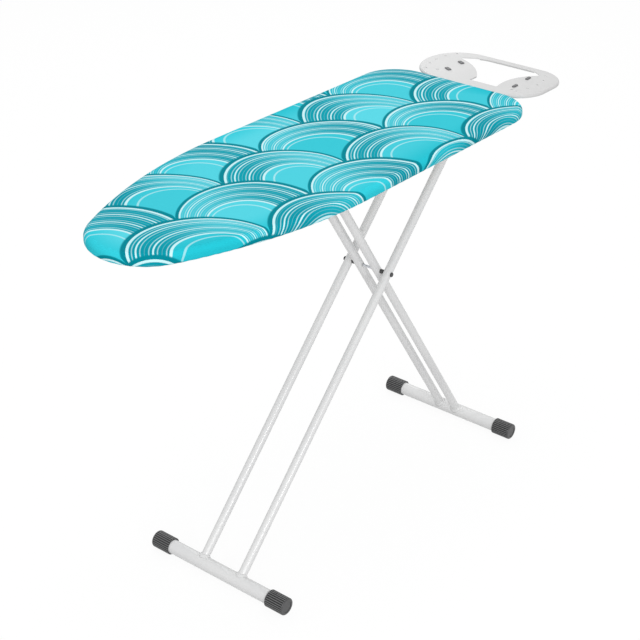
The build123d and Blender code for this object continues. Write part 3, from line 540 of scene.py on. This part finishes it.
# Painted shade multiplied into the skirt and edge, and how far in on the top it fades out
SKIRT_SHADE = (0.32, 0.88, 0.90, 1.0)
SKIRT_SHADE_FADE = 0.075
SCALE_R = 0.142
ROW_PITCH = 0.80 * SCALE_R
SCALE_LEAN = 0.36
LEAN_TURN = math.radians(52.0)
PRINT_TURN = math.radians(24.0)
PRINT_WARP = 0.026
WARP_SIZE = 3.4
LINE_COUNT = 26.0
LINE_EDGES = (0.40, 0.85)
BOLD_COUNT = 6.5
BOLD_SHARE = 0.40
BOLD_EDGES = (0.3, 0.9)
FINE_STRENGTH = 0.55
BAND_FROM = 0.50
BAND_VARIES = 0.16
BAND_SOFT = 0.004
STRIPE_EDGES = (-0.7, 0.5)
GROUND_EDGES = (0.2, 0.8)
SHADE_EDGES = (1.064, 1.040)
OUT_OF_SHADE = 2.0
BORDER_EDGES = (0.968, 0.976)
INNER_BORDER_EDGES = (0.016, 0.010)
ECHO_GAP = 0.10
ECHO_LEAN = 0.05
ECHO_EDGES = (0.014, 0.008)
ECHO_STRENGTH = 0.55
COTTON_SHINE = 0.03

scale_row, row_in, row_out = effect_group(
    "scale_row",
    {"Along": "NodeSocketFloat", "Across": "NodeSocketFloat", "Row": "NodeSocketFloat"},
    {"Reach": "NodeSocketFloat", "Chance": "NodeSocketFloat", "Aside": "NodeSocketFloat"},
)
work = partial(calculate, scale_row)
row_number = work("FLOOR", work("DIVIDE", row_in["Across"], ROW_PITCH))
row_number = work("ADD", row_number, row_in["Row"])
rise = work("SUBTRACT", row_in["Across"], work("MULTIPLY", row_number, ROW_PITCH))
odd_row = work("FLOORED_MODULO", row_number, 2.0)
shifted = work("SUBTRACT", row_in["Along"], work("MULTIPLY", odd_row, SCALE_R))
column = work("ROUND", work("DIVIDE", shifted, 2 * SCALE_R))
aside = work("SUBTRACT", shifted, work("MULTIPLY", column, 2 * SCALE_R))
lean_way = work("MULTIPLY_ADD", odd_row, -2.0, 1.0)
from_root = work("MULTIPLY_ADD", lean_way, SCALE_LEAN * SCALE_R * math.sin(LEAN_TURN), aside)
lifted = work("ADD", rise, SCALE_LEAN * SCALE_R * math.cos(LEAN_TURN))
sideways = work("MULTIPLY", work("MULTIPLY", from_root, lean_way), math.sin(LEAN_TURN))
leaning = work("MULTIPLY", work("MULTIPLY_ADD", lifted, math.cos(LEAN_TURN), sideways), SCALE_LEAN)
square = work("MULTIPLY_ADD", lifted, lifted, work("MULTIPLY", from_root, from_root))
root = work("SQRT", work("MULTIPLY_ADD", square, 1 - SCALE_LEAN**2, work("MULTIPLY", leaning, leaning)))
reach = work("DIVIDE", work("SUBTRACT", root, leaning), SCALE_R * (1 - SCALE_LEAN**2))
feed(scale_row, row_out["Reach"], reach)
feed(scale_row, row_out["Aside"], work("DIVIDE", work("MULTIPLY", aside, lean_way), SCALE_R))
cell = scale_row.nodes.new("ShaderNodeCombineXYZ")
feed(scale_row, cell.inputs["X"], column)
feed(scale_row, cell.inputs["Y"], row_number)
chance = scale_row.nodes.new("ShaderNodeTexWhiteNoise")
chance.noise_dimensions = "2D"
feed(scale_row, chance.inputs["Vector"], cell.outputs["Vector"])
feed(scale_row, row_out["Chance"], chance.outputs["Value"])

# Plain weave: raised crossings of warp and weft threads
THREAD_PITCH = 0.0008
WEAVE_DEPTH = 0.00006
weave, weave_in, weave_out = effect_group(
    "weave",
    {"Along": "NodeSocketFloat", "Across": "NodeSocketFloat"},
    {"Height": "NodeSocketFloat"},
)
work = partial(calculate, weave)
warp = work("SINE", work("MULTIPLY", weave_in["Along"], math.pi / THREAD_PITCH))
weft = work("SINE", work("MULTIPLY", weave_in["Across"], math.pi / THREAD_PITCH))
feed(weave, weave_out["Height"], work("MULTIPLY_ADD", work("MULTIPLY", warp, weft), 0.5, 0.5))


def choose(tree, condition, if_true, if_false):
    """One of two values, by a condition of 0 or 1."""
    difference = calculate(tree, "SUBTRACT", if_true, if_false)
    return calculate(tree, "MULTIPLY_ADD", difference, condition, if_false)


cotton, tree, shader = new_material("printed_cotton", roughness=0.9)
shader.inputs["Specular IOR Level"].default_value = COTTON_SHINE
flat_cut = tree.nodes.new("ShaderNodeUVMap")
flat_cut.uv_map = "print"
turned = tree.nodes.new("ShaderNodeMapping")
turned.inputs["Rotation"].default_value = (0.0, 0.0, PRINT_TURN)
feed(tree, turned.inputs["Vector"], flat_cut.outputs["UV"])
warp_noise = tree.nodes.new("ShaderNodeTexNoise")
warp_noise.inputs["Scale"].default_value = WARP_SIZE
warp_noise.inputs["Detail"].default_value = 0.0
feed(tree, warp_noise.inputs["Vector"], turned.outputs["Vector"])
warped = tree.nodes.new("ShaderNodeVectorMath")
warped.operation = "MULTIPLY_ADD"
feed(tree, warped.inputs[0], warp_noise.outputs["Color"])
warped.inputs[1].default_value = (PRINT_WARP * 2, PRINT_WARP * 2, 0.0)
feed(tree, warped.inputs[2], turned.outputs["Vector"])
split = tree.nodes.new("ShaderNodeSeparateXYZ")
feed(tree, split.inputs["Vector"], warped.outputs["Vector"])
rows = [
    place_group(tree, scale_row, Along=split.outputs["X"], Across=split.outputs["Y"], Row=number)
    for number in (-1.0, 0.0, 1.0)
]
front, middle, back = rows
work = partial(calculate, tree)
in_front = work("LESS_THAN", front["Reach"], 1.0)
in_middle = work("LESS_THAN", middle["Reach"], 1.0)
reach, chance, aside = [
    choose(tree, in_front, front[label], choose(tree, in_middle, middle[label], back[label]))
    for label in ("Reach", "Chance", "Aside")
]
nearest = work("MINIMUM", front["Reach"], middle["Reach"])
beside = choose(tree, in_front, OUT_OF_SHADE, choose(tree, in_middle, front["Reach"], nearest))
shade = ramp(tree, beside, *SHADE_EDGES)

band_start = work("MULTIPLY_ADD", chance, BAND_VARIES, BAND_FROM)
band_depth = work("SUBTRACT", reach, band_start)
band = ramp(tree, band_depth, -BAND_SOFT, BAND_SOFT)
fine = work("COSINE", work("MULTIPLY", band_depth, 2 * math.pi * LINE_COUNT))
bold = work("COSINE", work("MULTIPLY", band_depth, 2 * math.pi * BOLD_COUNT))
drawn = work("MULTIPLY_ADD", bold, BOLD_SHARE, fine)
lines = work("MULTIPLY", ramp(tree, drawn, *LINE_EDGES), band)
bright = work("MULTIPLY_ADD", ramp(tree, bold, *BOLD_EDGES), 1 - FINE_STRENGTH, FINE_STRENGTH)
border = ramp(tree, reach, *BORDER_EDGES)
inner_border = ramp(tree, work("ABSOLUTE", band_depth), *INNER_BORDER_EDGES)
echo = work("ABSOLUTE", work("ADD", band_depth, work("MULTIPLY_ADD", aside, ECHO_LEAN, ECHO_GAP)))
echo_line = work("MULTIPLY", ramp(tree, echo, *ECHO_EDGES), ECHO_STRENGTH)
ground = mix_colour(tree, ramp(tree, chance, *GROUND_EDGES), TURQUOISE, DEEP_TURQUOISE)
stripe = mix_colour(tree, ramp(tree, aside, *STRIPE_EDGES), BAND_PALE, BAND_DEEP)
colour = mix_colour(tree, band, ground, stripe)

# Painted shade: the skirt and the rounded edge, turned away from the light above, are multiplied to a darker,
# deeper colour, fading out a short way in on the top
inward = tree.nodes.new("ShaderNodeAttribute")
inward.attribute_name = "inward"
skirt_shading = ramp(tree, inward.outputs["Fac"], SKIRT_SHADE_FADE, 0.0)
colour = mix_colour(tree, skirt_shading, colour, SKIRT_SHADE, "MULTIPLY")

colour = mix_colour(tree, work("MULTIPLY", lines, bright), colour, PALE)
edging = work("MAXIMUM", work("MAXIMUM", border, inner_border), echo_line)
colour = mix_colour(tree, edging, colour, PALE)
colour = mix_colour(tree, shade, colour, DARK_TEAL)
feed(tree, shader.inputs["Base Color"], colour)
threads = tree.nodes.new("ShaderNodeSeparateXYZ")
feed(tree, threads.inputs["Vector"], flat_cut.outputs["UV"])
woven = place_group(tree, weave, Along=threads.outputs["X"], Across=threads.outputs["Y"])
add_bump(tree, shader, woven["Height"], WEAVE_DEPTH)

cover = new_piece("printed_cover", cover_mesh, "board", "cover_print", cotton)
thickness = cover.modifiers.new("cloth", "SOLIDIFY")
thickness.thickness = CLOTH_T
thickness.offset = -1.0
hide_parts("cover")
cut_edge = [print_place(cover_rows[0], step / EDGE_STEPS) for step in range(EDGE_STEPS)]
cut_area = abs(sum(point.cross(after) for point, after in zip(cut_edge, cut_edge[1:] + cut_edge[:1]))) / 2

# Iron rest: a steel plate pressed with a turned-down edge and two lobes, coated pale grey, on which four
# silicone pads with raised ribs keep the hot sole off the paint.
REST_LIGHT = (0.66, 0.66, 0.66, 1.0)
REST_DARK = (0.63, 0.63, 0.63, 1.0)
rest_coat = skin_material("rest_coat", REST_LIGHT, REST_DARK, roughness=0.38, grain=1000.0, depth=0.00003)
paint_nodes(rest_coat, "iron_rest_plate")

# Each pad's turn in degrees and its width
PADS = {
    "front_left": (62.0, 0.010),
    "rear_left": (62.0, 0.010),
    "front_right": (5.0, 0.008),
    "rear_right": (5.0, 0.008),
}
PAD_LENGTH = 0.019
PAD_CORNER_R = 0.0025
PAD_EDGE_R = 0.0010
RIB_COUNT = 5
RIB_PITCH = 0.0022
RIB_WIDTH = 0.0010
RIB_HEIGHT = 0.0004
RIB_MARGIN = 0.0018
RIB_EDGE_R = 0.0003
RUBBER_LIGHT = (0.150, 0.150, 0.155, 1.0)
RUBBER_DARK = (0.105, 0.106, 0.110, 1.0)
RIB_LIGHT = (0.300, 0.300, 0.305, 1.0)
RIB_DARK = (0.240, 0.240, 0.245, 1.0)
silicone = skin_material("silicone", RUBBER_LIGHT, RUBBER_DARK, roughness=0.55, grain=2000.0, depth=0.00002)
rib_silicone = skin_material("rib_silicone", RIB_LIGHT, RIB_DARK, roughness=0.5, grain=2000.0, depth=0.00002)


def new_pad(width, height):
    """A silicone pad on the origin: a rounded block with a soft upper edge and a row of cross ribs."""
    pad = bmesh.new()
    bmesh.ops.create_grid(pad, x_segments=1, y_segments=1, size=0.5)
    bmesh.ops.scale(pad, vec=(PAD_LENGTH, width, 1), verts=pad.verts)
    bmesh.ops.bevel(
        pad, geom=pad.verts[:], offset=PAD_CORNER_R, segments=5, affect="VERTICES", profile=0.5, material=-1
    )
    lifted = bmesh.ops.extrude_face_region(pad, geom=pad.faces[:], use_keep_orig=True)["geom"]
    upper = {item for item in lifted if isinstance(item, bmesh.types.BMVert)}
    shelf = height - RIB_HEIGHT
    bmesh.ops.translate(pad, verts=list(upper), vec=(0, 0, shelf))
    rim = [edge for edge in pad.edges if upper.issuperset(edge.verts)]
    bmesh.ops.bevel(
        pad, geom=rim, offset=PAD_EDGE_R, segments=3, affect="EDGES", profile=0.5, material=-1
    )
    bmesh.ops.recalc_face_normals(pad, faces=pad.faces)
    rib_size = Matrix.Diagonal((RIB_WIDTH, width - 2 * RIB_MARGIN, 2 * RIB_HEIGHT, 1))
    for rib in range(RIB_COUNT):
        place = Matrix.Translation(((rib - (RIB_COUNT - 1) / 2) * RIB_PITCH, 0, shelf))
        cube = bmesh.ops.create_cube(pad, size=1.0, matrix=place @ rib_size)
        faces = {face for vertex in cube["verts"] for face in vertex.link_faces}
        for face in faces:
            face.material_index = 1
        top = max(faces, key=lambda face: face.calc_center_median().z)
        bmesh.ops.bevel(
            pad, geom=top.edges[:], offset=RIB_EDGE_R, segments=2, affect="EDGES", profile=0.5, material=-1
        )
    return pad


for place, (turn, width) in PADS.items():
    node = f"rest_pad_{place}"
    pad_low, pad_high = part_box(node)
    centre = middle_of(node)
    pad = new_pad(width, pad_high.z - pad_low.z)
    lay = Matrix.Translation((centre.x, centre.y, pad_low.z)) @ Matrix.Rotation(math.radians(turn), 4, "Z")
    bmesh.ops.transform(pad, matrix=lay, verts=pad.verts)
    piece = new_piece(f"iron_pad_{place}", pad, "board", "pad_silicone", silicone, rib_silicone)
    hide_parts(node)

# Studio: a pale floor that keeps a soft shadow, a white surround and four soft lights.
# Floor and surround show white to the eye and in reflections, and light the object at a lower level.
FLOOR_SIZE = 14.0
FLOOR_COLOUR = (0.53, 0.53, 0.53, 1.0)
FLOOR_SHARE = 0.84
FLOOR_GLOW = 1.10
AMBIENT = 0.58
# Each light's name, place, aim, size in metres and power in watts
LIGHTS = (
    ("key", (0.3, 0.2, 4.4), (0.0, 0.0, 0.9), 3.0, 40.0),
    ("front", (-4.0, -2.8, 2.1), (0.0, 0.0, 0.4), 2.4, 69.0),
    ("side", (-2.1, -4.1, 2.05), (0.0, 0.0, 0.4), 0.75, 35.0),
    ("rear", (2.6, 2.4, 2.6), (0.1, 0.0, 0.6), 2.0, 16.0),
)

floor_mesh = bmesh.new()
bmesh.ops.create_grid(floor_mesh, x_segments=1, y_segments=1, size=FLOOR_SIZE / 2)
floor_data = bpy.data.meshes.new("floor")
floor_mesh.to_mesh(floor_data)
floor_mesh.free()
floor = bpy.data.objects.new("floor", floor_data)
bpy.context.scene.collection.objects.link(floor)


def seen_directly(tree):
    """1 where the eye or a reflection meets a surface, and 0 where it only gives light."""
    path = tree.nodes.new("ShaderNodeLightPath").outputs
    seen = calculate(tree, "MAXIMUM", path["Is Camera Ray"], path["Is Glossy Ray"])
    return calculate(tree, "MAXIMUM", seen, path["Is Transmission Ray"])


paper, tree, shader = new_material("paper", roughness=0.9)
shader.inputs["Base Color"].default_value = FLOOR_COLOUR
glow = tree.nodes.new("ShaderNodeEmission")
glow.inputs["Strength"].default_value = FLOOR_GLOW
blend = tree.nodes.new("ShaderNodeMixShader")
feed(tree, blend.inputs["Fac"], calculate(tree, "MULTIPLY", seen_directly(tree), FLOOR_SHARE))
tree.links.new(shader.outputs["BSDF"], blend.inputs[1])
tree.links.new(glow.outputs["Emission"], blend.inputs[2])
tree.links.new(blend.outputs["Shader"], tree.nodes["Material Output"].inputs["Surface"])
floor_data.materials.append(paper)

world = bpy.data.worlds.new("studio")
world.use_nodes = True
bpy.context.scene.world = world
tree = world.node_tree
surround = tree.nodes["Background"]
surround.inputs["Color"].default_value = (1.0, 1.0, 1.0, 1.0)
feed(tree, surround.inputs["Strength"], choose(tree, seen_directly(tree), 1.0, AMBIENT))

for name, place, aim, size, power in LIGHTS:
    lamp = bpy.data.lights.new(name, "AREA")
    lamp.size = size
    lamp.energy = power
    light = bpy.data.objects.new(name, lamp)
    light.location = place
    light.rotation_euler = (Vector(aim) - Vector(place)).to_track_quat("-Z", "Y").to_euler()
    bpy.context.scene.collection.objects.link(light)

# Camera: the photograph's own place and lens, for a square picture.
# Both were worked out from the edges of the legs, the feet, the board and the iron rest in it.
PICTURE_WIDTH = 640
FOCAL_PIXELS = 1513.54
SENSOR_WIDTH = 36.0
CAMERA_PLACE = (-2.31807, -1.80962, 2.09309)
CAMERA_HEADING = math.radians(-51.44)
CAMERA_HEIGHT = math.radians(28.73)
CAMERA_ROLL = math.radians(0.46)

lens = bpy.data.cameras.new("camera")
lens.sensor_fit = "HORIZONTAL"
lens.sensor_width = SENSOR_WIDTH
lens.lens = FOCAL_PIXELS * SENSOR_WIDTH / PICTURE_WIDTH
camera = bpy.data.objects.new("camera", lens)
turn = Matrix.Rotation(CAMERA_HEADING, 4, "Z") @ Matrix.Rotation(math.pi / 2 - CAMERA_HEIGHT, 4, "X")
camera.matrix_world = Matrix.Translation(CAMERA_PLACE) @ turn @ Matrix.Rotation(CAMERA_ROLL, 4, "Z")
bpy.context.scene.collection.objects.link(camera)
bpy.context.scene.camera = camera
bpy.context.scene.view_settings.view_transform = "Standard"
